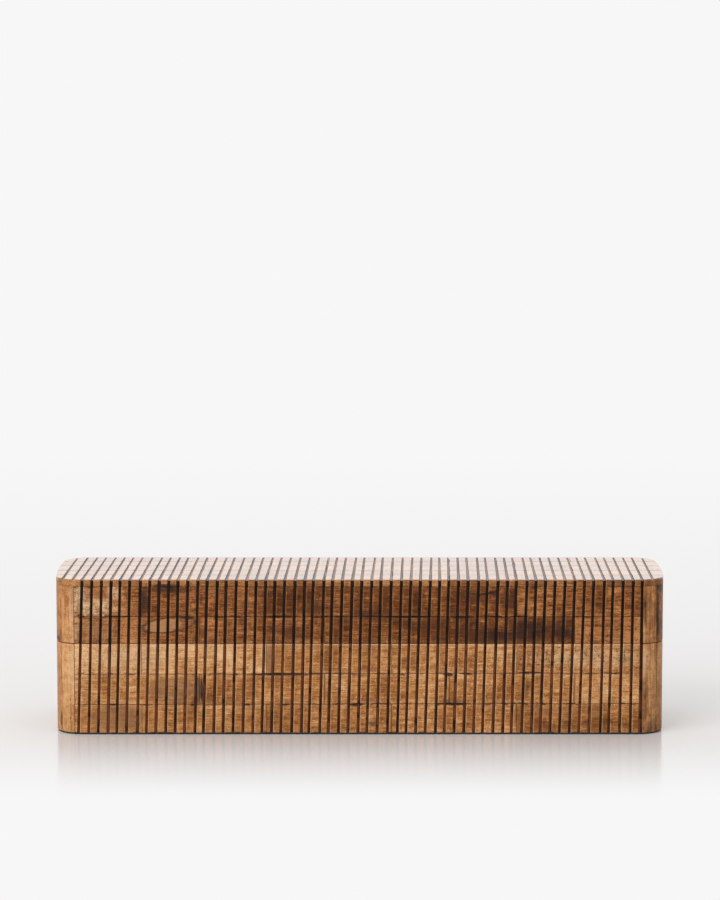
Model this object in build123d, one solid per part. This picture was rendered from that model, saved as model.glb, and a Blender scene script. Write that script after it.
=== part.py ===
# A long keepsake box with a hinged lid, clad in grooved slips laid in a brick bond.
# Millimetres. X runs along the box to the right, Y from front to back, Z up.
# The origin is on the table, under the middle of the box.
import os
from math import atan, cos, degrees, radians

from build123d import *

# Overall sizes
length = 400.0
depth = 100.0
base_height = 60.2
lid_height = 42.5
lid_gap = 0.3
corner_radius = 18.0

# Core boards
board_thickness = 8.0
bottom_thickness = 6.0
top_thickness = 6.0
rabbet_width = 4.0
felt_thickness = 1.0
felt_inset = 0.6

# Slips, and the grooves sawn across the front, top and back
slip_thickness = 4.5
slip_pitches = 13
groove_pitch = 6.32
groove_width = 2.0
groove_depth = 1.6
top_groove_depth = 0.8
groove_shift = -1.5
corner_reach = 13.5

# How the rows of slips share out the base, the lid (both from the top down) and the top (from the front)
base_row_shares = (0.34, 0.34, 0.32)
lid_row_shares = (0.53, 0.47)
top_row_shares = (0.2, 0.2, 0.2, 0.2, 0.2)

# Hinges
hinge_spacing = 220.0
leaf_length = 38.0
leaf_width = 10.0
leaf_thickness = 1.3
barrel_radius = 2.4
pin_radius = 1.1
tail_reach = 5.5
lid_opening_deg = 100.0
knuckle_count = 3

# Hinge screws
screw_spacing = 24.0
screw_setback = 6.3
screw_head_radius = 1.9
screw_shank_radius = 0.9
screw_length = 9.0
screw_tip_radius = 0.25
screw_sides = 8

# Clearances, and how far a cut runs past the piece that it cuts
pin_clearance = 0.05
screw_clearance = 0.05
knuckle_gap = 0.3
barrel_gap = 0.2
stop_clearance = 0.3
overrun = 2.0

# Worked out from the sizes above
lid_rim = base_height + lid_gap
height = lid_rim + lid_height
core_top = height - slip_thickness
core_length = length - 2 * slip_thickness
core_depth = depth - 2 * slip_thickness
inside_length = core_length - 2 * board_thickness
inside_depth = core_depth - 2 * board_thickness
run_pitches = round((length - 2 * corner_reach) / groove_pitch)
run_start = groove_shift - run_pitches * groove_pitch / 2
run_end = run_start + run_pitches * groove_pitch
top_first = -int((run_start + length / 2 - groove_pitch / 2) / groove_pitch)
top_last = run_pitches + int((length / 2 - run_end - groove_pitch / 2) / groove_pitch)
end_run = depth / 2 - corner_radius
hinge_stand = barrel_radius + barrel_gap
hinge_axis = (depth / 2 + hinge_stand, base_height + lid_gap / 2)


def block(x, y, z):
    """A box between the given pairs of low and high values."""
    size = Box(x[1] - x[0], y[1] - y[0], z[1] - z[0], align=(Align.MIN, Align.MIN, Align.MIN))
    return Pos(x[0], y[0], z[0]) * size


def prism(outline, low, high):
    """An outline in plan, raised from one height to another."""
    return extrude(Pos(0, 0, low) * outline, amount=high - low, dir=(0, 0, 1))


def rounded_plan(inset):
    """The box's plan with its round corners, drawn in by an inset."""
    return RectangleRounded(length - 2 * inset, depth - 2 * inset, corner_radius - inset)


def side_wedge(side, low, high):
    """All that lies on one side of the box, out to the mitre lines of its corners."""
    x, y = inside_length / 2, inside_depth / 2
    reach = slip_thickness + board_thickness + overrun
    outline = {
        "front": [(-x, -y), (-x - reach, -y - reach), (x + reach, -y - reach), (x, -y)],
        "back": [(x, y), (x + reach, y + reach), (-x - reach, y + reach), (-x, y)],
        "left": [(-x, y), (-x - reach, y + reach), (-x - reach, -y - reach), (-x, -y)],
        "right": [(x, -y), (x + reach, -y - reach), (x + reach, y + reach), (x, y)],
    }[side]
    return prism(Polygon(*outline, align=None), low, high)


def groove_place(index):
    return run_start + index * groove_pitch


def row_joints(row):
    """The grooves where the slips of a row meet. Every second row is laid from the other end."""
    spare = run_pitches % slip_pitches
    first = spare if row % 2 == 0 else slip_pitches
    return list(range(first, run_pitches, slip_pitches))


def grooved_edge(start, end, first, last, sunk):
    """Points along a grooved face as (place, depth), with half a groove at an end that lies on a groove."""
    points = []
    for index in range(first, last + 1):
        centre = groove_place(index)
        if centre - groove_width / 2 > start:
            points.append((centre - groove_width / 2, 0))
        points.append((centre, sunk))
        if centre + groove_width / 2 < end:
            points.append((centre + groove_width / 2, 0))
    if points[0][0] > start:
        points.insert(0, (start, 0))
    if points[-1][0] < end:
        points.append((end, 0))
    return points


def grooved_side(first, last, face, low, high):
    """Cladding between two grooves on the front (face -1) or back (face 1), with the grooves upright."""
    start, end = groove_place(first), groove_place(last)
    edge = grooved_edge(start, end, first, last, groove_depth)
    inner = depth / 2 - corner_radius
    outline = [(x, face * (depth / 2 - sunk)) for x, sunk in edge]
    outline += [(end, face * inner), (start, face * inner)]
    return prism(Polygon(*outline, align=None), low, high) & cladding_ring(low, high)


def cladding_ring(low, high):
    return prism(rounded_plan(0), low, high) - prism(rounded_plan(slip_thickness), low, high)


def slip_rows(start, end, shares):
    """Rows of slips from a start to an end, as (start, end)."""
    edges = [start + (end - start) * sum(shares[:row]) for row in range(len(shares))] + [end]
    return list(zip(edges, edges[1:]))


def front_slips(row, high, low):
    joints = [0, *row_joints(row), run_pitches]
    return [grooved_side(a, b, -1, low, high) for a, b in zip(joints, joints[1:])]


def end_slips(side, rows):
    """Plain slips on one end of the box: one slip to a row, then two, in turn."""
    slips = []
    for row, (high, low) in enumerate(rows):
        middle = [] if row % 2 == 0 else [0]
        stops = [-end_run, *middle, end_run]
        for a, b in zip(stops, stops[1:]):
            x = sorted((side * length / 2, side * (length / 2 - corner_radius)))
            slips.append(block(x, (a, b), (low, high)) & cladding_ring(low, high))
    return slips


def corner_pieces(across, along, low, high):
    """The two upright pieces of one corner, mitred together."""
    ring = cladding_ring(low, high)
    face = "front" if along < 0 else "back"
    end = "left" if across < 0 else "right"
    edge = run_start if across < 0 else run_end
    x = sorted((edge, across * length / 2))
    y = sorted((along * end_run, along * depth / 2))
    half = groove_width / 2
    outer = along * depth / 2
    inner = outer - along * groove_depth
    groove = Polygon((edge - half, outer), (edge, inner), (edge + half, outer), align=None)
    face_piece = ring & side_wedge(face, low, high) & block(x, (-depth / 2, depth / 2), (low, high))
    end_piece = ring & side_wedge(end, low, high) & block((-length / 2, length / 2), y, (low, high))
    return [face_piece - prism(groove, low, high), end_piece]


def top_row(row, front, back):
    """One lengthwise row of slips on the lid, crossed by the grooves."""
    joints = [groove_place(index) for index in row_joints(row)]
    stops = [-length / 2, *joints, length / 2]
    bounds = [top_first, *row_joints(row), top_last]
    slips = []
    for place in range(len(stops) - 1):
        start, end = stops[place], stops[place + 1]
        edge = grooved_edge(start, end, bounds[place], bounds[place + 1], top_groove_depth)
        outline = [(x, height - sunk) for x, sunk in edge] + [(end, core_top), (start, core_top)]
        face = Plane.XZ * Polygon(*outline, align=None)
        slip = extrude(Pos(0, front, 0) * face, amount=back - front, dir=(0, 1, 0))
        slips.append(slip & prism(rounded_plan(0), core_top, height))
    return slips


def core_boards(low, high, panel, pockets):
    """The four mitred boards of a core, rabbeted for its panel, with hinge pockets in the back board."""
    ring = prism(rounded_plan(slip_thickness), low, high)
    ring -= prism(Rectangle(inside_length, inside_depth), low, high)
    ring -= panel
    boards = {side: ring & side_wedge(side, low, high) for side in ("front", "back", "left", "right")}
    boards["back"] -= pockets
    return boards


def panel_board(low, high):
    """The bottom or top board, which reaches into the rabbets of the core."""
    return prism(Rectangle(inside_length + 2 * rabbet_width, inside_depth + 2 * rabbet_width), low, high)


def leaf_pocket(centre, low, high):
    return block(
        (centre - leaf_length / 2, centre + leaf_length / 2),
        (depth / 2 - leaf_width, depth / 2 + overrun),
        (low, high),
    )


def knuckle_span(index):
    """The ends of one knuckle along the barrel, with half a gap at each inner end."""
    step = leaf_length / knuckle_count
    low = index * step - leaf_length / 2
    high = low + step
    if index > 0:
        low += knuckle_gap / 2
    if index < knuckle_count - 1:
        high -= knuckle_gap / 2
    return low, high


def rod(radius, low, high):
    """A round bar along the hinge axis."""
    y, z = hinge_axis
    return Pos((low + high) / 2, y, z) * Rot(Y=90) * Cylinder(radius, high - low)


def screw_places(centre):
    return [centre - screw_spacing / 2, centre + screw_spacing / 2]


def tapered_bar(wide, narrow, low, high):
    """A flat-sided bar that tapers upwards from one radius to another."""
    slope = (wide - narrow) * cos(radians(180 / screw_sides)) / (high - low)
    foot = Pos(0, 0, low) * RegularPolygon(wide, screw_sides)
    return extrude(foot, amount=high - low, dir=(0, 0, 1), taper=degrees(atan(slope)))


def screw_seat(x, surface, up):
    """Where a screw sits: on a leaf's face, with its head up or down. A screw is drawn head down."""
    return Pos(x, depth / 2 - screw_setback, surface) * Rot(X=180 if up > 0 else 0)


def screw_head(grow):
    return tapered_bar(screw_head_radius + grow, screw_shank_radius + grow, 0, leaf_thickness)


def hinge_screw(x, surface, up):
    shank = tapered_bar(screw_shank_radius, screw_tip_radius, leaf_thickness, screw_length)
    return screw_seat(x, surface, up) * (screw_head(0) + shank)


def hinge_leaf(centre, low, high, surface, up, knuckles):
    """A leaf with its knuckles. The face that meets the other leaf lies at the surface height."""
    x = (centre - leaf_length / 2, centre + leaf_length / 2)
    leaf = block(x, (depth / 2 - leaf_width, depth / 2), (low, high))
    for index in knuckles:
        start, end = (centre + place for place in knuckle_span(index))
        leaf += block((start, end), (depth / 2 - leaf_thickness, hinge_axis[0]), (low, high))
        leaf += rod(barrel_radius, start, end)
    for screw in screw_places(centre):
        leaf -= screw_seat(screw, surface, up) * screw_head(screw_clearance)
    return leaf


def lid_tail(centre, index):
    """The tail behind the lid's knuckle. It comes down flat against the base's back when the lid is open."""
    start, end = knuckle_span(index)
    under = stop_clearance - hinge_stand
    tail = block((start, end), (0, tail_reach), (under, under + leaf_thickness))
    return Pos(centre, *hinge_axis) * Rot(X=lid_opening_deg - 90) * tail


def hinge(centre):
    """One stop hinge: base leaf, lid leaf and pin."""
    outer = [index for index in range(knuckle_count) if index % 2 == 0]
    inner = [index for index in range(knuckle_count) if index % 2 == 1]
    bore = rod(pin_radius + pin_clearance, centre - leaf_length, centre + leaf_length)
    base_leaf = hinge_leaf(centre, base_height - leaf_thickness, base_height, base_height, 1, outer)
    lid_leaf = hinge_leaf(centre, lid_rim, lid_rim + leaf_thickness, lid_rim, -1, inner)
    for index in inner:
        lid_leaf += lid_tail(centre, index)
    pin = rod(pin_radius, centre - leaf_length / 2, centre + leaf_length / 2)
    return base_leaf - bore, lid_leaf - bore, pin


def save(name, pieces):
    """Writes one node: a single solid, or a group of separate solids."""
    shape = pieces[0] if len(pieces) == 1 else Compound(children=pieces)
    export_step(shape, os.path.join("parts", name + ".step"))


def build_sides(body, rows, low, high, panel, pocket_low, pocket_high, hinge_centres):
    """The boards, corner pieces, end slips and back cladding of the base or the lid."""
    pockets = [leaf_pocket(centre, pocket_low, pocket_high) for centre in hinge_centres]
    for side, board in core_boards(low, high, panel, pockets).items():
        save(f"{body}_{side}_board", [board])
    save(f"{body}_back_cladding", [grooved_side(0, run_pitches, 1, low, high) - pockets])
    for row, (upper, lower) in enumerate(rows):
        save(f"{body}_front_slips_row_{row + 1}", front_slips(row, upper, lower))
    for side, across in (("left", -1), ("right", 1)):
        save(f"{body}_{side}_end_slips", end_slips(across, rows))
        for face, along in (("front", -1), ("back", 1)):
            save(f"{body}_corner_{face}_{side}", corner_pieces(across, along, low, high))


os.makedirs("parts", exist_ok=True)
hinges = {"left": -hinge_spacing / 2, "right": hinge_spacing / 2}

# Base
bottom_board = panel_board(felt_thickness, felt_thickness + bottom_thickness)
base_rows = slip_rows(base_height, felt_thickness, base_row_shares)
base_pocket = (base_height - leaf_thickness, base_height + overrun)
save("base_bottom_board", [bottom_board])
save("base_felt", [prism(rounded_plan(felt_inset), 0, felt_thickness)])
build_sides("base", base_rows, felt_thickness, base_height, bottom_board, *base_pocket, hinges.values())

# Lid
top_board = panel_board(core_top - top_thickness, core_top)
lid_rows = slip_rows(core_top, lid_rim, lid_row_shares)
lid_pocket = (lid_rim - overrun, lid_rim + leaf_thickness)
save("lid_top_board", [top_board])
build_sides("lid", lid_rows, lid_rim, core_top, top_board, *lid_pocket, hinges.values())
for row, (front, back) in enumerate(slip_rows(-depth / 2, depth / 2, top_row_shares), 1):
    save(f"lid_top_slips_row_{row}", top_row(row, front, back))

# Hinges and their screws
for side, centre in hinges.items():
    base_leaf, lid_leaf, pin = hinge(centre)
    save(f"{side}_hinge_base_leaf", [base_leaf])
    save(f"{side}_hinge_lid_leaf", [lid_leaf])
    save(f"{side}_hinge_pin", [pin])
places = [x for centre in hinges.values() for x in screw_places(centre)]
save("base_hinge_screws", [hinge_screw(x, base_height, 1) for x in places])
save("lid_hinge_screws", [hinge_screw(x, lid_rim, -1) for x in places])
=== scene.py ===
# Dresses the long keepsake box: burnt slips with sawn grooves, a felt pad, brass hinges, and a plain studio.
# Metres. X runs along the box to the right, Y from front to back, Z up, as in the frame.
import math
import random
from functools import partialmethod

import bmesh
import bpy
from mathutils import Matrix, Vector


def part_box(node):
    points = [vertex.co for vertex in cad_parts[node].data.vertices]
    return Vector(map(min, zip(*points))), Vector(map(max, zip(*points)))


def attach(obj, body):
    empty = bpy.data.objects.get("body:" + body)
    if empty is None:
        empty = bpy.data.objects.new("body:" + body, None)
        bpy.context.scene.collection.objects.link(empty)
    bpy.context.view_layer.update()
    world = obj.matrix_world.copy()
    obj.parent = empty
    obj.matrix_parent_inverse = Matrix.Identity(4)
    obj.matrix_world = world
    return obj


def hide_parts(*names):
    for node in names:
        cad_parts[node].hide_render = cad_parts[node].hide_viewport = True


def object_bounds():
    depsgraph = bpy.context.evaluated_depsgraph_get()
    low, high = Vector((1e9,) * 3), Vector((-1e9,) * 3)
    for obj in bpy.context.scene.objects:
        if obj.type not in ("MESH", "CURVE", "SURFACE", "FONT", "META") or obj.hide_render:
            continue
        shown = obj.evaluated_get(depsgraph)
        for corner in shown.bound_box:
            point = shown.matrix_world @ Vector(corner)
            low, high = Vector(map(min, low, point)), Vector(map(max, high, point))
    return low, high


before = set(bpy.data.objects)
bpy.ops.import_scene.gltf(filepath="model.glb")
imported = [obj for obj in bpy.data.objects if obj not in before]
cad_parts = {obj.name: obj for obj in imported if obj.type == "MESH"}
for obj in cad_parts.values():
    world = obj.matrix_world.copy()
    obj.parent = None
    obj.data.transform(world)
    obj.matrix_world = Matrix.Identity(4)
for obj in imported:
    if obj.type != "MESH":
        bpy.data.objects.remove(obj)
cad_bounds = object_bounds()
scene = bpy.context.scene
mm = 0.001

# Sizes that come from the frame, and the rows of slips that it has
half_length = cad_bounds[1].x
half_depth = -cad_bounds[0].y
top = cad_bounds[1].z
row_counts = {"base": 3, "lid": 2}
top_rows = 5
row_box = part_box("base_front_slips_row_1")
left_joint_shift = 0.8 * mm
run_start = row_box[0].x + left_joint_shift
run_end = row_box[1].x
corner_radius = half_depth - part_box("base_left_end_slips")[1].y
slip_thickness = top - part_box("lid_top_slips_row_1")[0].z
seam = (row_box[1].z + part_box("lid_front_slips_row_2")[0].z) / 2

# Grooves: hand sawn, so they wander and lean to the left on their way down
groove_pitch = 6.325 * mm
groove_first = -188.1 * mm
groove_width = 1.85 * mm
groove_depth = 1.45 * mm
groove_draft = 0.15 * mm
top_groove_depth = 0.75 * mm
half_width_shares = (0.46, 0.54)
run_out = 3 * mm
run_out_share = 0.45
back_width_share = 0.58
narrowing_power = 0.5
groove_lean = 0.0275
top_lean = 0.0225
groove_wander = 0.42 * mm
lean_wander = 0.0045
lean_fade = 32 * mm
top_lean_fade = 80 * mm
top_lean_end = 145 * mm
end_lean_share = 0.3
front_grooves = 59
top_grooves = 62
wander_seed = 3
lean_seed = 5
width_seed = 7

# Slips: gaps, worn edges with a painted highlight beside the grooves, and the waves of torn and uneven wood
slip_pitches = 13
row_rises = {("base", 1): 0.8 * mm, ("base", 2): 0.6 * mm}
row_gap = 0.28 * mm
seam_gap = 0.02 * mm
band_gap = 0.3 * mm
joint_gap = 0.3 * mm
near_edge = 2 * row_gap
arris = 0.32 * mm
# The pale band beside each groove: partly wear, partly a painted highlight, stronger where a strip's edge
# faces the key light on the left
worn_and_lit_band = 0.5 * mm
wear_and_highlight_sides = (0.6, 0.4)
ragged = 0.1 * mm
tear_wave = 2.5 * mm
tear_steps = (3.7, 1.3, 9)
unevenness = 0.16 * mm
uneven_waves = (9 * mm, 7 * mm)
uneven_step = 0.37
corner_groove_share = 0.3

# The grid that a row is bent from, and the numbers that its slips and strips draw by
row_lines = 9
end_columns = 7
groove_columns = 10
middle_column = 4
half_step = 0.5
rim_lines = (0.9, 2.1)
out_of_reach = 10
row_weld = 0.004 * mm
first_slip_number = 50
strip_seed_step = 11
row_seeds = {"base": (1630, 1103, 46), "lid": (1535, 1286)}
top_seed = 71
back_seed = 90

# Corner pieces, end slips, boards and hinges
corner_steps = 9
mitre_turns = {-1: math.radians(51), 1: math.radians(46.5)}
mitre_gaps = {-1: 0.22 * mm, 1: 0.5 * mm}
# Tones of the corner pieces: partly their own, partly painted shade, the right corners darker and the left
# lighter as the key light falls from the left
corner_tones_with_painted_shade = {("lid", -1): 0.84, ("lid", 1): 0.38, ("base", -1): 1.1, ("base", 1): 0.69}
second_piece_shade = 0.3
even_strip = 0.5
notch_share = 0.7
end_crown = 1.0 * mm
end_bow = 6 * mm
piece_bevel = 0.35 * mm
board_bevel = 0.4 * mm
brass_bevel = 0.18 * mm
bevel_segments = 2
bevel_angle = math.radians(35)
board_weld = 0.002 * mm
row_crease = math.radians(34)
piece_crease = math.radians(40)
screw_crease = math.radians(30)
pocket_clearance = 0.1 * mm
screw_radius = 1.9 * mm
screw_slot = 0.7 * mm
screw_dish = 0.28 * mm
screw_neck_share = 0.7
screw_sides = 24
screw_seed = 4

# Camera and studio: lamps have a place, a width and a power, and the table fades at places in millimetres
camera_place = Vector((0.2, -2216.3, 441.1)) * mm
camera_pitch = math.radians(6.656)
camera_lens = 134.05
camera_sensor = 36.0
lamps = {
    "window": ((-1.7, -2.0, 1.4), 2.4, 56),
    "fill": ((1.8, -2.0, 1.0), 1.6, 8),
    "overhead": ((0.0, 0.3, 2.2), 2.0, 14),
}
white = 0.93
room_light = 0.42
mirrored_room = (-0.1, 0.6, 0.1, 1.4)
table_reach = 40.0
table_grain = 0.3
fade_start, fade_ahead, fade_behind = -60, -250, 1500
fade_power = 0.8

# Sockets that share their name with others, by their place on the node
random_low, random_high, random_out = 2, 3, 1
mix_amount, mix_under, mix_over, mix_out = 0, 6, 7, 2


class Field:
    """A number worked out by nodes, so that a formula can be written as one."""

    def __init__(self, socket):
        self.socket = socket
        self.tree = socket.id_data

    def math(self, operation, *others):
        node = self.tree.nodes.new("ShaderNodeMath")
        node.operation = operation
        for place, value in enumerate((self, *others)):
            put(node.inputs[place], value)
        return Field(node.outputs[0])

    def __rsub__(self, other):
        return (self * -1) + other

    def swing(self, amount):
        """How far the field lies from a half, times an amount."""
        return (self - 0.5) * amount

    def span(self, low, high, start=0.0, end=1.0, smooth=False):
        """The field's way from low to high, given out as start to end and held at both."""
        node = self.tree.nodes.new("ShaderNodeMapRange")
        node.interpolation_type = "SMOOTHSTEP" if smooth else "LINEAR"
        for place, value in enumerate((self, low, high, start, end)):
            put(node.inputs[place], value)
        return Field(node.outputs[0])


# What a field's signs and plain words stand for among the math node's operations
field_operations = {
    "__add__": "ADD", "__radd__": "ADD", "__sub__": "SUBTRACT", "__mul__": "MULTIPLY", "__rmul__": "MULTIPLY",
    "__truediv__": "DIVIDE", "above": "GREATER_THAN", "below": "LESS_THAN", "most": "MAXIMUM",
    "least": "MINIMUM", "size": "ABSOLUTE",
}
for word, operation in field_operations.items():
    setattr(Field, word, partialmethod(Field.math, operation))


def put(socket, value):
    """Sets a socket to a plain value, or links it to a field or another socket."""
    if isinstance(value, Field):
        value = value.socket
    if isinstance(value, bpy.types.NodeSocket):
        socket.id_data.links.new(value, socket)
    else:
        socket.default_value = value


def add(tree, kind, settings=None, **inputs):
    """Adds a node. Settings are its own properties, and inputs go to sockets of that name."""
    node = tree.nodes.new(kind)
    for name, value in (settings or {}).items():
        setattr(node, name, value)
    for name, value in inputs.items():
        put(node.inputs[name.replace("_", " ")], value)
    return node


def vector(tree, x, y, z):
    return add(tree, "ShaderNodeCombineXYZ", X=x, Y=y, Z=z).outputs[0]


def parts_of(place):
    node = add(place.id_data, "ShaderNodeSeparateXYZ", Vector=place)
    return [Field(out) for out in node.outputs]


def noise(place, layers, strength=0.5):
    """Soft noise with one wave to a unit: how many finer layers it has, and how strong they are."""
    node = add(
        place.id_data, "ShaderNodeTexNoise", Vector=place, Scale=1.0, Detail=layers, Roughness=strength)
    return Field(node.outputs[0])


def rgb(red, green, blue):
    """A colour from 0 to 255 as the eye sees it, turned into light by the sRGB formula."""
    parts = [value / 255 for value in (red, green, blue)]
    lit = [p / 12.92 if p <= 0.04045 else ((p + 0.055) / 1.055) ** 2.4 for p in parts]
    return (*lit, 1.0)


def shades(*colours):
    return tuple(rgb(*colour) for colour in colours)


# Objects and meshes

def linked(name, data):
    """A new object in the scene."""
    thing = bpy.data.objects.new(name, data)
    scene.collection.objects.link(thing)
    return thing


def mesh_of(work, name):
    """Turns finished mesh work into a mesh."""
    mesh = bpy.data.meshes.new(name)
    work.to_mesh(mesh)
    work.free()
    return mesh


def take_mesh(holder):
    """The mesh that an object's modifiers make. The object itself is removed."""
    depsgraph = bpy.context.evaluated_depsgraph_get()
    made = holder.evaluated_get(depsgraph)
    mesh = bpy.data.meshes.new_from_object(made, preserve_all_data_layers=True, depsgraph=depsgraph)
    bpy.data.objects.remove(holder)
    return mesh


def piece(name, mesh, crease, body, node):
    """A finished piece, smooth up to its creases: it rides on a body and stands for a CAD node."""
    mesh.shade_smooth()
    mesh.set_sharp_from_angle(angle=crease)
    mesh.name = name
    thing = linked(name, mesh)
    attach(thing, body)
    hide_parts(node)


def wear_edges(thing, width):
    """Rounds the sharp edges of an object."""
    bevel = thing.modifiers.new("worn edges", "BEVEL")
    bevel.width = width
    bevel.segments = bevel_segments
    bevel.limit_method = "ANGLE"
    bevel.angle_limit = bevel_angle


def softened(mesh, width):
    """The mesh with its sharp edges worn round."""
    holder = linked("holder", mesh)
    wear_edges(holder, width)
    return take_mesh(holder)


def cut_away(thing, *cutters):
    """The object's mesh with the cutters taken out of it. The objects are removed."""
    for cutter in cutters:
        cut = thing.modifiers.new("cut", "BOOLEAN")
        cut.operation = "DIFFERENCE"
        cut.solver = "EXACT"
        cut.object = cutter
    mesh = take_mesh(thing)
    for cutter in cutters:
        bpy.data.objects.remove(cutter)
    return mesh


def ringed(name, rings):
    """A closed mesh through rings of points, from the lowest to the highest."""
    work = bmesh.new()
    rings = [[work.verts.new(point) for point in ring] for ring in rings]
    for lower, upper in zip(rings, rings[1:]):
        for k in range(len(lower)):
            after = (k + 1) % len(lower)
            work.faces.new((lower[k], lower[after], upper[after], upper[k]))
    work.faces.new(rings[0])
    work.faces.new(rings[-1])
    bmesh.ops.recalc_face_normals(work, faces=work.faces)
    return mesh_of(work, name)


def raise_outline(outline, low, high):
    """An outline in plan, raised from one height to another as a closed mesh."""
    return ringed("outline", [[(x, y, level) for x, y in outline] for level in (low, high)])


def cutter_box(low, high):
    """A box between two corners, used as a cutter."""
    outline = [(low.x, low.y), (high.x, low.y), (high.x, high.y), (low.x, high.y)]
    return linked("cutter", raise_outline(outline, low.z, high.z))


def joined(meshes, finish):
    """Several meshes as one, with one finish."""
    work = bmesh.new()
    for mesh in meshes:
        work.from_mesh(mesh)
    result = mesh_of(work, "joined")
    result.materials.append(finishes[finish])
    return result


# Geometry Nodes

def new_tree(name, inputs):
    """A tree with named inputs, which gives out one shape, and the node that hands the inputs on."""
    tree = bpy.data.node_groups.new(name, "GeometryNodeTree")
    tree.interface.new_socket("Shape", in_out="OUTPUT", socket_type="NodeSocketGeometry")
    for kind, names in inputs.items():
        for socket in names:
            tree.interface.new_socket(socket, in_out="INPUT", socket_type=kind)
    return tree, tree.nodes.new("NodeGroupInput")


def end_tree(shape, material):
    """Makes a tree's instances real, sets their finish and gives the shape out."""
    tree = shape.id_data
    solid = add(tree, "GeometryNodeRealizeInstances", Geometry=shape)
    finish = add(tree, "GeometryNodeSetMaterial", Geometry=solid.outputs[0], Material=material)
    result = tree.nodes.new("NodeGroupOutput")
    put(result.inputs[0], finish.outputs[0])


def bake(tree, values, source=None):
    """Runs a tree on an object of its own and returns the plain mesh that it makes."""
    holder = linked("holder", source or bpy.data.meshes.new("holder"))
    modifier = holder.modifiers.new("shape", "NODES")
    modifier.node_group = tree
    for item in tree.interface.items_tree:
        if item.name in values:
            modifier[item.identifier] = values[item.name]
    return take_mesh(holder)


# Rows of grooved slips

row_inputs = {
    "NodeSocketFloat": (
        "Left", "Right", "First", "Low", "High", "Low Gap", "High Gap", "Low Rise", "High Rise",
        "Lean", "Lean From", "Lean Fade", "Lean End", "Pitch", "Width", "Depth", "Thickness",
        "Slip Length", "Slip Start", "Flat",
    ),
    "NodeSocketInt": ("Grooves", "First Number", "Seed", "Slip Seed"),
    "NodeSocketMaterial": ("Finish",),
}


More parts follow.
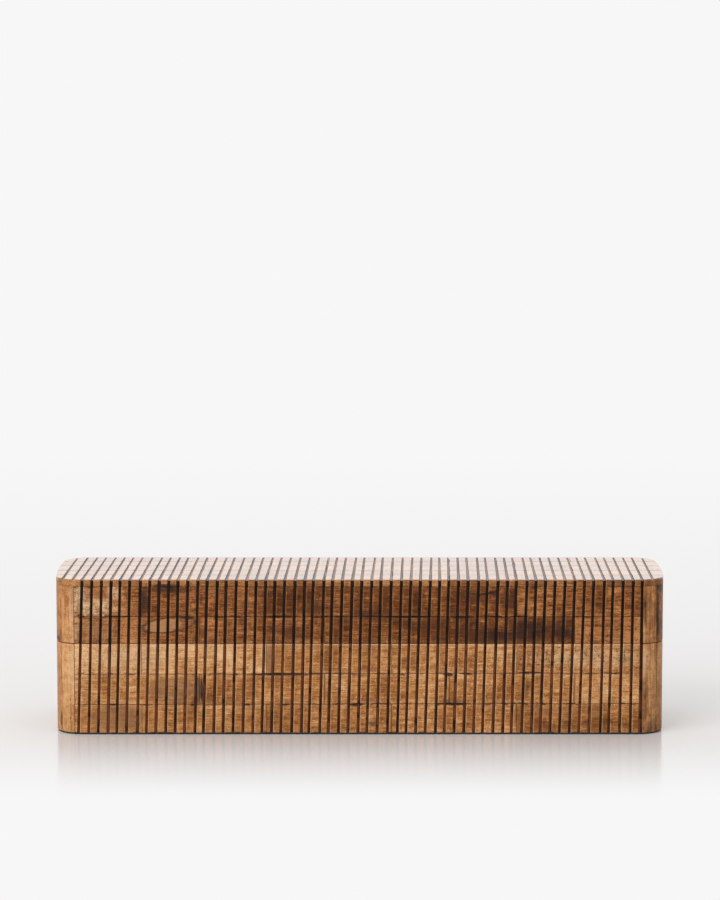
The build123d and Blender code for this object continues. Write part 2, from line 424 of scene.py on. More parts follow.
def grooved_row_tree():
    """One row of slips lying flat, face up at height 0, with its grooves across it and its run along X."""
    tree, given = new_tree("grooved row", row_inputs)

    def take(name):
        return Field(given.outputs[name])

    def chance(number, low, high, seed):
        """A random number that stays the same for one groove, strip or slip."""
        node = add(tree, "FunctionNodeRandomValue", {"data_type": "FLOAT"}, ID=number, Seed=seed)
        node.inputs[random_low].default_value = low
        node.inputs[random_high].default_value = high
        return Field(node.outputs[random_out])

    # A grid whose columns and lines are counted from its own places
    columns = take("Grooves") * groove_columns + 2 * end_columns
    last_row_line = row_lines - 1
    grid = add(
        tree, "GeometryNodeMeshGrid", Size_X=columns - 1, Size_Y=last_row_line,
        Vertices_X=columns, Vertices_Y=row_lines)
    place = tree.nodes.new("GeometryNodeInputPosition")
    across, along, _ = parts_of(place.outputs[0])
    column = (across + (columns - 1) / 2).math("ROUND")
    line = (along + last_row_line / 2).math("ROUND")

    # Which groove a column belongs to, and its step from the groove's middle
    inner = column - end_columns
    groove = (inner / groove_columns).math("FLOOR").most(0).least(take("Grooves") - 1)
    step = inner - groove * groove_columns
    away = (step - middle_column).size()
    side = (step - middle_column).math("SIGN")
    number = groove + take("First Number")

    # Where the row's lines lie across it: the first and last are its rounded edges
    share = ((line - 1) / (last_row_line - 2)).most(0).least(1)
    first_line = line.below(half_step)
    last_line = line.above(last_row_line - half_step)

    # The groove's middle at this line, and the column's distance from it
    upright = take("First") + take("Pitch") * groove
    along_run = upright.span(-half_length, half_length)
    row_low = take("Low") + take("Low Rise") * along_run
    row_high = take("High") + take("High Rise") * along_run
    level = row_low + (row_high - row_low) * share
    lean = take("Lean") + chance(number, -lean_wander, lean_wander, lean_seed)
    lean = lean * upright.span(take("Lean End") - take("Lean Fade"), take("Lean End"), 1, end_lean_share)
    middle = upright + chance(number, -groove_wander, groove_wander, take("Seed"))
    middle = middle + lean * (level - take("Lean From"))
    backward = level.span(-half_depth, half_depth).math("POWER", narrowing_power)
    narrowed = backward * take("Flat") * (1 - back_width_share)
    groove_step, side_step, flat_step = tear_steps
    tear_start = number * groove_step + side * side_step
    tear_place = vector(tree, tear_start, level / tear_wave, take("Flat") * flat_step)
    half = take("Width") * chance(number, *half_width_shares, width_seed) * (1 - narrowed)
    half = half + noise(tear_place, layers=3).swing(ragged)
    rest = take("Pitch") / 2 - half - arris - worn_and_lit_band
    steps = (half - groove_draft, groove_draft, arris, worn_and_lit_band, rest)
    distance = sum(away.above(count + half_step) * length for count, length in enumerate(steps))
    x = middle + side * distance

    # End columns close up towards the row's ends, where the corner turns away fastest
    quarter = math.pi / 2
    left_share = 1 - (column * (quarter / end_columns)).math("COSINE")
    left_x = take("Left") + (middle - half - arris - worn_and_lit_band - take("Left")) * left_share
    right_share = ((step - groove_columns + 1) * (quarter / end_columns)).math("SINE")
    last_strip = middle + take("Pitch") / 2
    right_x = last_strip + (take("Right") - last_strip) * right_share
    at_left = column.below(end_columns - half_step)
    at_right = step.above(groove_columns - half_step)
    x = x + (left_x - x) * at_left
    x = x + (right_x - x) * at_right
    x = x.most(take("Left")).least(take("Right"))

    # How deep the groove is there, and how far the round corner has turned away
    reach = (x - middle).size()
    wall = reach.span(half - groove_draft, half, take("Depth"), arris)
    edge = reach.span(half, half + arris, arris, 0)
    sunk = wall + edge - arris
    past = (x.size() - (half_length - corner_radius)).most(0)
    turned = corner_radius - (corner_radius ** 2 - past * past).most(0).math("SQRT")

    # Across the row: a flat row follows the plan's round corners, and its outer edges are grooved too
    on_front = number.above(half_step) * number.below(front_grooves + half_step)
    notch = sunk * on_front / take("Depth") * groove_depth
    far = (1 - take("Flat")) * out_of_reach
    front_rim = half_depth - notch.most(turned) + far
    back_rim = half_depth - turned + far
    low = (row_low + take("Low Gap")).most(front_rim * -1)
    high = (row_high - take("High Gap")).least(back_rim)
    inside = (low + arris) + (high - low - 2 * arris) * share
    v = inside - first_line * arris + last_line * arris
    shallow = (back_rim - v).span(arris, run_out, run_out_share, 1)
    aside = v / (half_depth - corner_radius)
    bow = (1 - aside * aside).most(0) * end_crown * take("Flat")
    bowed = x + x.math("SIGN") * bow * x.size().span(half_length - end_bow, half_length)
    rolled = (first_line + last_line) * arris
    wave_x, wave_v = uneven_waves
    hand_place = vector(tree, x / wave_x, v / wave_v, number * uneven_step)
    uneven = noise(hand_place, layers=2).swing(unevenness) * (1 - first_line) * (1 - last_line)
    depth = (sunk * shallow).most(turned * (1 - take("Flat")) + rolled) + uneven.most(0)

    # What the finish needs to know about each place
    strip_number = number + step.above(middle_column)
    slip_number = ((x - take("Slip Start")) / take("Slip Length")).math("FLOOR") + first_slip_number
    outer = (v.size() + turned).above(half_depth - arris / 2) * take("Flat")
    # Pale edges beside a groove: wear on both sides, plus a painted highlight on its right, where the next
    # strip's edge faces the key light
    wear_both_sides, highlight_right_of_groove = wear_and_highlight_sides
    marks = {
        "spread": (last_line * take("High Gap") - first_line * take("Low Gap")) / mm,
        "groove": sunk / take("Depth") * (1 - outer),
        "cross": side * reach.span(0, half),
        "worn": reach.span(half + arris, half + arris + worn_and_lit_band, 1, 0) * (wear_both_sides + side * highlight_right_of_groove),
        "rim": line.least(last_row_line - line).span(*rim_lines, 1, 0) * (1 - outer),
        "strip": chance(strip_number, 0, 1, take("Slip Seed") + strip_seed_step),
        "slip": chance(slip_number, 0, 1, take("Slip Seed")),
    }
    mesh = grid.outputs["Mesh"]
    settings = {"data_type": "FLOAT", "domain": "POINT"}
    for name, value in marks.items():
        store = add(tree, "GeometryNodeStoreNamedAttribute", settings, Geometry=mesh, Name=name, Value=value)
        mesh = store.outputs[0]
    face = add(tree, "GeometryNodeSetPosition", Geometry=mesh, Position=vector(tree, bowed, v, depth * -1))
    end_tree(thickened(face.outputs[0], take("Thickness")), take("Finish"))
    return tree


def thickened(face, thickness):
    """Gives a row its thickness: a copy of the face pushed back flat, with walls between."""
    tree = face.id_data
    push = add(
        tree, "GeometryNodeExtrudeMesh", {"mode": "FACES"}, Mesh=face, Individual=False,
        Offset=vector(tree, 0, 0, -1), Offset_Scale=thickness / 2)
    place = tree.nodes.new("GeometryNodeInputPosition")
    x, y, _ = parts_of(place.outputs[0])
    spread = add(tree, "GeometryNodeInputNamedAttribute", {"data_type": "FLOAT"}, Name="spread")
    flat = vector(tree, x, y + Field(spread.outputs[0]) * mm, thickness * -1)
    back = add(
        tree, "GeometryNodeSetPosition", Geometry=push.outputs["Mesh"], Selection=push.outputs["Top"],
        Position=flat)
    turn = add(tree, "GeometryNodeFlipFaces", Mesh=back.outputs[0])
    both = tree.nodes.new("GeometryNodeJoinGeometry")
    for side in (turn.outputs[0], face):
        put(both.inputs[0], side)
    weld = add(tree, "GeometryNodeMergeByDistance", Geometry=both.outputs[0], Distance=row_weld)
    return weld.outputs[0]


def part_at_joints(mesh, joints):
    """Parts a row into slips, with a hairline between them, and closes their ends."""
    work = bmesh.new()
    work.from_mesh(mesh)
    for joint in joints:
        for cut in (joint - joint_gap / 2, joint + joint_gap / 2):
            everything = work.verts[:] + work.edges[:] + work.faces[:]
            bmesh.ops.bisect_plane(work, geom=everything, plane_co=(cut, 0, 0), plane_no=(1, 0, 0))
        between = [f for f in work.faces if abs(f.calc_center_median().x - joint) < joint_gap / 2]
        bmesh.ops.delete(work, geom=between, context="FACES")
        bmesh.ops.holes_fill(work, edges=[e for e in work.edges if e.is_boundary], sides=0)
    bmesh.ops.recalc_face_normals(work, faces=work.faces)
    work.to_mesh(mesh)
    work.free()


def row_joints(row):
    """Where the slips of a row meet. Every second row is laid from the other end."""
    pitch = (run_end - run_start) / front_grooves
    first = front_grooves % slip_pitches if row % 2 == 0 else slip_pitches
    return [run_start + pitch * index for index in range(first, front_grooves, slip_pitches)]


def row_values(row, finish, seed):
    """The values that every grooved row shares."""
    joints = row_joints(row)
    return {
        "Pitch": groove_pitch, "Width": groove_width, "Thickness": slip_thickness, "Seed": wander_seed,
        "Slip Length": joints[1] - joints[0], "Slip Start": joints[0], "Slip Seed": seed, "Finish": finish,
    }


def edge_gap(level):
    """The gap along an upright row's edge: at the seam, under the top's band, or between two rows."""
    if abs(level - seam) < near_edge:
        return seam_gap
    if level > top - slip_thickness - row_gap:
        return band_gap
    return row_gap / 2


def upright_row(tree, body, row, low, high, finish, seed, facing):
    """A row on the front (facing -1) or the back (facing 1)."""
    values = row_values(row, finish, seed)
    values.update({
        "Left": run_start + joint_gap / 2, "Right": run_end, "First": groove_first + groove_pitch,
        "Grooves": front_grooves, "First Number": 1, "Depth": groove_depth, "Flat": 0.0,
        "Low": low, "Low Gap": edge_gap(low), "Low Rise": row_rises.get((body, row + 1), 0.0),
        "High": high, "High Gap": edge_gap(high), "High Rise": row_rises.get((body, row), 0.0),
        "Lean": groove_lean, "Lean From": top, "Lean Fade": lean_fade, "Lean End": run_end,
    })
    mesh = bake(tree, values)
    mesh.transform(Matrix.Translation((0, -half_depth, 0)) @ Matrix.Rotation(math.pi / 2, 4, "X"))
    if facing > 0:
        mesh.transform(Matrix.Scale(-1, 4, (0, 1, 0)))
        mesh.flip_normals()
    part_at_joints(mesh, row_joints(row))
    return mesh


def flat_row(tree, row, low, high, finish, seed):
    """A row on the lid's top."""
    values = row_values(row, finish, seed)
    values.update({
        "Left": -half_length, "Right": half_length, "First": groove_first - groove_pitch,
        "Grooves": top_grooves, "First Number": -1, "Depth": top_groove_depth, "Flat": 1.0,
        "Low": low, "Low Gap": row_gap / 2 if low > -half_depth + row_gap else 0.0, "Low Rise": 0.0,
        "High": high, "High Gap": row_gap / 2 if high < half_depth - row_gap else 0.0, "High Rise": 0.0,
        "Lean": top_lean, "Lean From": -half_depth, "Lean Fade": top_lean_fade, "Lean End": top_lean_end,
    })
    mesh = bake(tree, values)
    mesh.transform(Matrix.Translation((0, 0, top)))
    shift = top_lean * ((low + high) / 2 + half_depth)
    part_at_joints(mesh, [joint + shift for joint in row_joints(row)])
    return mesh


# Hinge screws

screw_inputs = {
    "NodeSocketGeometry": ("Points",),
    "NodeSocketObject": ("Screw",),
    "NodeSocketInt": ("Seed",),
    "NodeSocketMaterial": ("Finish",),
}


def screw_row_tree():
    """Screws set at the points of the object that carries the tree, each turned by chance."""
    tree, given = new_tree("screws at points", screw_inputs)
    screw = add(tree, "GeometryNodeObjectInfo", Object=given.outputs["Screw"])
    turn = add(tree, "FunctionNodeRandomValue", {"data_type": "FLOAT"}, Seed=given.outputs["Seed"])
    turn.inputs[random_high].default_value = math.pi
    copies = add(
        tree, "GeometryNodeInstanceOnPoints", Points=given.outputs["Points"],
        Instance=screw.outputs["Geometry"], Rotation=vector(tree, 0, 0, turn.outputs[random_out]))
    end_tree(copies.outputs[0], given.outputs["Finish"])
    return tree


def slotted_screw(length, up):
    """A countersunk screw with a slot across its flat head, its head at the origin."""
    shank = screw_radius / 2
    sections = [
        (screw_dish, -length), (shank, -length + 2 * screw_radius), (shank, -screw_radius * screw_neck_share),
        (screw_radius, -screw_dish), (screw_radius - screw_dish, 0),
    ]
    turns = [2 * math.pi * k / screw_sides for k in range(screw_sides)]
    circle = [(math.cos(turn), math.sin(turn)) for turn in turns]
    rings = [[(x * radius, y * radius, height) for x, y in circle] for radius, height in sections]
    slot_end = Vector((2 * screw_radius, screw_slot / 2, screw_slot))
    mesh = cut_away(linked("screw", ringed("screw", rings)), cutter_box(-slot_end, slot_end))
    if up < 0:
        mesh.transform(Matrix.Rotation(math.pi, 4, "X"))
    return linked("screw", mesh)


# Corner pieces and end slips

def mark_all(mesh, **values):
    """Gives every point of a mesh the same values for its finish."""
    for name, value in values.items():
        store = mesh.attributes.new(name, "FLOAT", "POINT")
        store.data.foreach_set("value", [value] * len(mesh.vertices))


def mark_notch(mesh):
    """Marks a corner piece's half of the last groove, so that it is stained like the rest."""
    store = mesh.attributes.new("groove", "FLOAT", "POINT")
    notch_end = run_end + joint_gap + groove_width * corner_groove_share
    notch_floor = half_depth - groove_depth * notch_share
    for vertex, value in zip(mesh.vertices, store.data):
        x, y, _ = vertex.co
        value.value = 1.0 if 0 < x < notch_end and abs(y) < notch_floor else 0.0


def arc(across, along, radius, start, end):
    """Points of a corner's arc, with angles from the front or back face round to the end."""
    centre_x = across * (half_length - corner_radius)
    centre_y = along * (half_depth - corner_radius)
    turns = [start + (end - start) * k / corner_steps for k in range(corner_steps + 1)]
    wide, deep = across * radius, along * radius
    return [(centre_x + wide * math.sin(a), centre_y + deep * math.cos(a)) for a in turns]


def corner_meshes(across, along, low, high):
    """The two upright pieces of one corner, with a hairline at their mitre."""
    edge = abs(run_start if across < 0 else run_end) + joint_gap / 2
    inner = corner_radius - slip_thickness
    past = edge - (half_length - corner_radius)
    mitre = mitre_turns[across]
    outer_gap = mitre_gaps[across] / 2 / corner_radius
    inner_gap = mitre_gaps[across] / 2 / inner
    face = arc(across, along, corner_radius, math.asin(past / corner_radius), mitre - outer_gap)
    face += arc(across, along, inner, mitre - inner_gap, math.asin(past / inner))
    if across > 0:
        face = notched(face, along)
    end = arc(across, along, corner_radius, mitre + outer_gap, math.pi / 2)
    end += arc(across, along, inner, math.pi / 2, mitre + inner_gap)
    return [softened(raise_outline(outline, low, high), piece_bevel) for outline in (face, end)]


def notched(outline, along):
    """A corner piece's outline with its half of the last groove cut from its edge."""
    sunk_y = along * (half_depth - groove_depth)
    edge_x = outline[0][0]
    half = groove_width * corner_groove_share
    kept = [point for point in outline[:corner_steps + 1] if point[0] > edge_x + half]
    rest = outline[corner_steps + 1:]
    past = edge_x + half - (half_length - corner_radius)
    shoulder = along * (half_depth - corner_radius + math.sqrt(corner_radius ** 2 - past ** 2))
    return [(edge_x, sunk_y), (edge_x + half, sunk_y), (edge_x + half, shoulder)] + kept + rest


def end_slip_meshes(side, rows):
    """Plain slips on one end of the box: one slip to a row, then two, in turn."""
    reach = half_depth - corner_radius
    gap = row_gap / 2
    meshes = []
    for row, (low, high) in enumerate(rows):
        stops = [-reach, reach] if row % 2 == 0 else [-reach, 0, reach]
        for a, b in zip(stops, stops[1:]):
            steps = [a + gap + (b - a - 2 * gap) * k / corner_steps for k in range(corner_steps + 1)]
            face = [(side * (half_length + end_crown * (1 - (y / reach) ** 2)), y) for y in steps]
            rear = [(side * (half_length - slip_thickness), y) for y in (steps[-1], steps[0])]
            meshes.append(softened(raise_outline(face + rear, low + gap, high - gap), piece_bevel))
    return meshes


# Figures in the finishes: waves to a millimetre along X, Y and Z, finer layers, and their strength
figures = {
    "mottle": ((0.05, 0.05, 0.05), 4, 0.55),
    "blotch": ((0.21, 0.3, 0.3), 3, 0.6),
    "fine": ((1.1, 2.4, 2.4), 3, 0.65),
    "specks": ((1.3, 1.9, 1.9), 1, 0.5),
    "torn": ((0.35, 0.35, 0.35), 5, 0.7),
    "chips": ((0.12, 0, 0), 3, 0.5),
    "crowd": ((0.12, 0.12, 0.12), 2, 0.5),
    "filler": ((0.09, 0.3, 0.3), 3, 0.6),
    "soaked": ((0.13, 0.13, 0.025), 2, 0.5),
    "clogged": ((0.2, 0.2, 0.16), 2, 0.5),
    "wax": ((0.16, 0.012, 0), 2, 0.5),
    "brushed": ((0.25, 5, 5), 3, 0.5),
    "tarnish": ((0.22, 0.22, 0.22), 4, 0.6),
    "nap": ((1.6, 1.6, 1.6), 6, 0.7),
    "tufts": ((0.35, 0.35, 0.35), 3, 0.5),
    "table": ((0.02, 0.02, 0.02), 3, 0.5),
}

# Figures that follow a grain: least waves, waves to each of the grain's, finer layers, and their strength
grain_figures = {
    "streaks": (0, 1, 5, 0.66),
    "figure": (0, 1, 5, 0.6),
    "wide": (0, 0.22, 2, 0.5),
    "fibre": (0, 4, 3, 0.5),
    "vessels": (0.06, 6, 1, 0.5),
}

# Where an effect starts and ends on its figure or mark, and what it gives out there if not 0 and 1
effects = {
    "specks": (0.0, 0.06),
    "speck level": (0.2, 1.0, 0.67, 0.62),
    "fleck share": (0.0, 1.0, 0.02, 0.16),
    "worn_and_lit": (0.35, 0.65),
    "chips": (0.3, 0.6, 0.5, 0.0),
    "toned": (0.3, 0.7),
    "crowd": (0.4, 0.65),
    "filler": (0.53, 0.6),
    "filled rim": (0.72, 0.95),
    "groove": (0.2, 0.45),
    "stain": (-0.7, 0.5),
    "clogged": (0.56, 0.66),
    "wax": (0.35, 0.65),
    "fibre": (0.62, 0.7),
    "vessels": (0.6, 0.68),
    "tarnish": (0.42, 0.72),
}

# How strongly each effect covers what lies under it
covers = {
    "specks": 0.75, "worn_and_lit": 0.7, "rubbed rim": 0.5, "rubbed edge": 0.65, "coarse pores": 0.75,
    "filler": 0.9, "clogged": 0.8, "board lines": 0.55, "tarnish": 0.75,
}

# Slips: what sets their tone, roughness and relief, and how their pores, marks and wax lie
tone_shares = {"slip": 0.5, "strip": 0.16, "mottle": 1.1, "streaks": 1.7, "blotch": 0.9, "fine": 1.5}
tone_stops = (0.05, 0.5, 0.95)
middle_tone = 0.5
foot_height = 60
slip_shift = (310, 170, 230)
fleck_waves = (0.25, 0.25)
fleck_radius = 0.3
fleck_core = 0.55
coarse_pores = ((1.7, 0.4, 0.36), (0.9, 0.45, 0.22))
coarse_core = 0.5
coarse_soft = 0.5
torn_reach = 2.2
torn_rim = 0.3
break_levels = (0.36, 0.58)
break_changes = (0.06, -0.03)
darker_share = 0.62
edge_fade = 0.2
seam_clear = 4 * row_gap / mm
soaked_swing = 4
wax_drop = 0.1
wax_level = (top - top_groove_depth) / mm - wax_drop
wax_fade = 0.3
coat_fade = 0.6
groove_coat_loss = 0.6
slip_rough = {"all": 0.45, "streaks": 0.3, "grooves": 0.4, "specks": 0.2}
slip_pits = 0.6
slip_relief = (0.15 * mm, 0.7)

# Boards, brass and felt: what sets their tone, roughness and relief
board_shares = {"figure": 0.55, "wide": 0.3, "fibre": 0.15}
board_stops = ((0.3, rgb(92, 58, 34)), (0.5, rgb(142, 97, 60)), (0.7, rgb(178, 131, 88)))
board_line = rgb(74, 45, 27)
board_rough = {"all": 0.55, "fibre": 0.3}
board_pits = 0.4
board_relief = (0.15 * mm, 0.5)
brass_rough = {"all": 0.3, "brushed": 0.15, "tarnish": 0.2}
brass_relief = (0.05 * mm, 0.4)
felt_shares = {"nap": 0.7, "tufts": 0.3}
felt_stops = ((0.3, rgb(17, 17, 18)), (0.7, rgb(46, 45, 46)))
felt_relief = (0.4 * mm, 0.8)


# Finishes

def new_finish(name):
    """A new material, its principled shader, and the piece's own place in millimetres."""
    material = bpy.data.materials.new(name)
    material.use_nodes = True
    tree = material.node_tree
    shader = next(node for node in tree.nodes if node.type == "BSDF_PRINCIPLED")
    own = tree.nodes.new("ShaderNodeTexCoord")
    return material, shader, scaled(tree, own.outputs["Object"], 1 / mm)


def settle(shader, **values):
    """Sets the shader's own sockets."""
    for name, value in values.items():
        put(shader.inputs[name.replace("_", " ")], value)


def scaled(tree, way, amount):
    node = add(tree, "ShaderNodeVectorMath", {"operation": "SCALE"}, Vector=way, Scale=amount)
    return node.outputs[0]


def combined(place, operation, other):
    """A place with another added to it or multiplied in."""
    node = add(place.id_data, "ShaderNodeVectorMath", {"operation": operation}, Vector=place)
    put(node.inputs[1], other)
    return node.outputs[0]


def along_grain(grain, least, times):
    return tuple(least + value * times for value in grain)


def figure(place, kind, grain=None):
    """The noise of one named figure, which follows a grain if one is given."""
    if grain:
        least, times, layers, strength = grain_figures[kind]
        waves = along_grain(grain, least, times)
    else:
        waves, layers, strength = figures[kind]
    return noise(combined(place, "MULTIPLY", waves), layers, strength)


def effect(place, kind):
    """How strongly a figure shows at a place."""
    return figure(place, kind).span(*effects[kind])


def evenly(first, second):
    return (first + second) / 2


def mark(place, name):
    node = place.id_data.nodes.new("ShaderNodeAttribute")
    node.attribute_name = name
    return Field(node.outputs["Fac"])


def mixed(amount, under, over):
    """One colour laid over another."""
    node = add(amount.tree, "ShaderNodeMix", {"data_type": "RGBA", "clamp_factor": True})
    for place, value in ((mix_amount, amount), (mix_under, under), (mix_over, over)):
        put(node.inputs[place], value)
    return node.outputs[mix_out]


def darker(shade):
    return (*(part * darker_share for part in shade[:3]), 1.0)


def ramp(amount, stops):
    """Colours from low to high amounts."""
    node = amount.tree.nodes.new("ShaderNodeValToRGB")
    while len(node.color_ramp.elements) < len(stops):
        node.color_ramp.elements.new(0.5)
    for element, (place, colour) in zip(node.color_ramp.elements, stops):
        element.position = place
        element.color = colour
    put(node.inputs[0], amount)
    return node.outputs[0]


def relief(height, distance, strength):
    """Small relief from a height in shares of the distance."""
    return add(height.tree, "ShaderNodeBump", Strength=strength, Distance=distance, Height=height).outputs[0]


def patches(place, spots, soft, hollow=0.0):
    """How far a place on the front lies inside any spot. A spot that gives no tilt lies level."""
    torn = figure(place, "torn").swing(torn_reach) * soft
    x, y, z = parts_of(place)
    cover = y * 0
    for spot_x, spot_z, half_x, half_z, *tilt in spots:
        turn = math.radians(*tilt or [0])
        turn_cos, turn_sin = math.cos(turn), math.sin(turn)
        across = ((x - spot_x) * turn_cos + (z - spot_z) * turn_sin) / half_x
        up = ((z - spot_z) * turn_cos - (x - spot_x) * turn_sin) / half_z
        reach = (across * across + up * up).math("SQRT") + torn
        inside = reach.span(1 + soft * torn_rim, 1 - soft, smooth=True)
        if hollow:
            inside = inside * reach.span(hollow - soft, hollow)
        cover = cover.most(inside)
    return cover * y.below(0)


def pores(cells, radius, core, share, dimensions="3D"):
    """Dark pores, each in a cell of its own: a share of the cells has one."""
    settings = {"feature": "F1", "voronoi_dimensions": dimensions}
    drawn = add(cells.id_data, "ShaderNodeTexVoronoi", settings, Vector=cells, Scale=1.0)
    lot = parts_of(drawn.outputs["Color"])[0]
    return Field(drawn.outputs["Distance"]).span(radius, radius * core) * lot.below(share)


def slip_figures(place, grain):
    """The chance numbers of each slip and strip, and figures that are drawn anew for each slip."""
    look = {kind: mark(place, kind) for kind in ("slip", "strip")}
    own = combined(place, "ADD", scaled(place.id_data, slip_shift, look["slip"]))
    look["streaks"] = figure(own, "streaks", grain)
    for kind in ("mottle", "blotch", "fine", "specks"):
        look[kind] = figure(own, kind)
    look["cells"] = combined(own, "MULTIPLY", along_grain(grain, *fleck_waves))
    return look


def slip_specks(look, pored):
    """Dark specks, and flecks along the grain, more on some slips than on others."""
    specks = (look["specks"] - look["slip"].span(*effects["speck level"])).span(*effects["specks"]) * pored
    share = look["slip"].span(*effects["fleck share"]) * pored
    return specks.most(pores(look["cells"], fleck_radius, fleck_core, share))


def marked(place, look, colour, spots):
    """A slip's colour with the listed marks laid over it."""
    for kind, (shade, strength, soft, hollow) in spot_kinds.items():
        if kind in spots:
            low, high = (level + soft * change for level, change in zip(break_levels, break_changes))
            broken = evenly(look["blotch"], look["fine"]).span(low, high, 1 - soft, 1.0)
            cover = patches(place, spots[kind], soft, hollow) * strength * broken
            tone = evenly(look["streaks"], look["fine"]).span(*effects["toned"])
            colour = mixed(cover, colour, mixed(tone, darker(shade), shade))
    if "pored" in spots:
        crowd = patches(place, spots["pored"], coarse_soft) * effect(place, "crowd")
        x, _, z = parts_of(place)
        dots = crowd * 0
        for size, radius, share in coarse_pores:
            cells = vector(x.tree, x / size, z / size, 0)
            dots = dots.most(pores(cells, radius, coarse_core, crowd * share, "2D"))
        colour = mixed(dots * covers["coarse pores"], colour, filler_shade)
    return colour


def groove_stain(place, height, groove_shades, waxed):
    """The stain in the grooves: two tones across a groove, clogged in places, and waxed on the top."""
    soaked = mark(place, "cross") + figure(place, "soaked").swing(soaked_swing)
    stain = mixed(soaked.span(*effects["stain"]), *groove_shades)
    stain = mixed(effect(place, "clogged") * covers["clogged"], stain, filler_shade)
    if waxed:
        wax = mixed(effect(place, "wax"), *waxed_groove)
        stain = mixed(height.span(wax_level - wax_fade, wax_level), stain, wax)
    return stain


def slip_finish(name, tones, grain, groove_shades, foot_shade=0.0, spots=None, waxed=False, worn_and_lit_top_from=None,
                pored=1.0):
    """Burnt and waxed slips: streaked, pored, paler on worn edges that also carry a painted highlight, and
    dark down in the grooves.
    """
    material, shader, place = new_finish(name)
    height = parts_of(place)[2]
    look = slip_figures(place, grain)
    specks = slip_specks(look, pored)

    pale, middle, deep, burnt = tones
    tone = middle_tone - height.span(foot_height, 0) * foot_shade
    for kind, share in tone_shares.items():
        tone = tone + look[kind].swing(share)
    colour = ramp(tone, list(zip(tone_stops, (deep, middle, pale))))
    colour = mixed(specks * covers["specks"], colour, burnt)
    rim = mark(place, "rim")
    # Paler along the grooves' edges and the rows' rims: partly wear, partly a painted highlight
    worn_and_lit = mark(place, "worn").most(rim * covers["rubbed rim"]) * look["fine"].span(*effects["worn_and_lit"])
    colour = mixed(worn_and_lit * covers["worn_and_lit"], colour, pale)
    # A pale line along the base's top edge, broken by chips: partly wear, partly a painted highlight along
    # the edge
    if worn_and_lit_top_from:
        chipped = effect(place, "chips") + worn_and_lit_top_from
        worn_and_lit_top = height.span(chipped, chipped + edge_fade)
        colour = mixed(worn_and_lit_top * covers["rubbed edge"], colour, worn_and_lit_top_colour)
    colour = marked(place, look, colour, spots or {})
    filler = effect(place, "filler") * rim.span(*effects["filled rim"])
    filler = filler * (height - seam / mm).size().above(seam_clear)
    colour = mixed(filler * covers["filler"], colour, filler_shade)
    dark = mark(place, "groove").span(*effects["groove"])
    colour = mixed(dark, colour, groove_stain(place, height, groove_shades, waxed))

    rough = slip_rough["all"] + look["streaks"].swing(slip_rough["streaks"])
    rough = rough + dark * slip_rough["grooves"] + specks * slip_rough["specks"]
    uneven = relief(evenly(look["streaks"], look["fine"]) - specks * slip_pits, *slip_relief)
    settle(shader, Base_Color=colour, Roughness=rough, Normal=uneven, Specular_IOR_Level=0.22)
    if waxed:
        coat = (1 - dark * groove_coat_loss) * height.span(wax_level - coat_fade, wax_level)
        settle(shader, Coat_Weight=coat, Coat_Roughness=0.2)
    return material


def board_finish(name, grain):
    """Plain stained core boards, seen inside the open box."""
    material, shader, place = new_finish(name)
    look = {kind: figure(place, kind, grain) for kind in ("figure", "wide", "fibre", "vessels")}
    tone = sum(look[kind] * share for kind, share in board_shares.items())
    lines = look["fibre"].span(*effects["fibre"]).most(look["vessels"].span(*effects["vessels"]))
    colour = mixed(lines * covers["board lines"], ramp(tone, board_stops), board_line)
    rough = board_rough["all"] + look["fibre"].swing(board_rough["fibre"])
    uneven = relief(evenly(look["figure"], look["fibre"]) - lines * board_pits, *board_relief)
    settle(shader, Base_Color=colour, Roughness=rough, Normal=uneven)
    return material


def brass_finish(name, shade, dull):
    """Brushed brass, gone a little dull."""
    material, shader, place = new_finish(name)
    brushed = figure(place, "brushed")
    tarnish = effect(place, "tarnish")
    colour = mixed(tarnish * covers["tarnish"], shade, dull)
    rough = brass_rough["all"] + brushed * brass_rough["brushed"] + tarnish * brass_rough["tarnish"]
    settle(shader, Base_Color=colour, Roughness=rough, Normal=relief(brushed, *brass_relief), Metallic=1.0)
    return material


def felt_finish(name):
    """Black felt with a loose nap."""
    material, shader, place = new_finish(name)
    look = {kind: figure(place, kind) for kind in felt_shares}
    tone = sum(look[kind] * share for kind, share in felt_shares.items())
    nap = relief(look["nap"], *felt_relief)
    settle(shader, Base_Color=ramp(tone, felt_stops), Normal=nap, Roughness=0.95, Sheen_Weight=0.3)
    return material


# The finishes of this box: tones are pale, middle, deep and burnt, and grooves have a wall and a bed
along_x = (0.07, 1.25, 1.25)
along_z = (0.75, 0.75, 0.035)
along_y = (1.25, 0.07, 1.25)
board_along_x = (0.02, 0.4, 0.4)
board_along_y = (0.4, 0.02, 0.4)
lid_tones = shades((194, 131, 78), (121, 65, 20), (66, 28, 0), (44, 24, 18))
top_tones = shades((200, 147, 95), (160, 102, 52), (112, 67, 31), (50, 28, 20))
base_tones = shades((233, 187, 138), (189, 127, 68), (127, 74, 28), (84, 46, 24))
lid_corner_tones = shades((220, 162, 106), (166, 108, 60), (106, 62, 30), (50, 30, 22))
base_corner_tones = shades((224, 172, 118), (180, 124, 74), (132, 84, 44), (80, 50, 32))
lid_groove = shades((60, 40, 30), (36, 25, 20))
base_groove = shades((140, 80, 47), (62, 35, 25))
waxed_groove = shades((76, 50, 40), (150, 108, 84))
hinge_brass = shades((206, 164, 92), (120, 84, 44))
screw_brass = shades((226, 196, 134), (160, 122, 70))
table_shades = shades((226, 224, 223), (221, 220, 218))
filler_shade = rgb(25, 21, 20)
# Pale colour of the base's top edge: partly wear, partly painted highlight
worn_and_lit_top_colour = rgb(222, 190, 156)

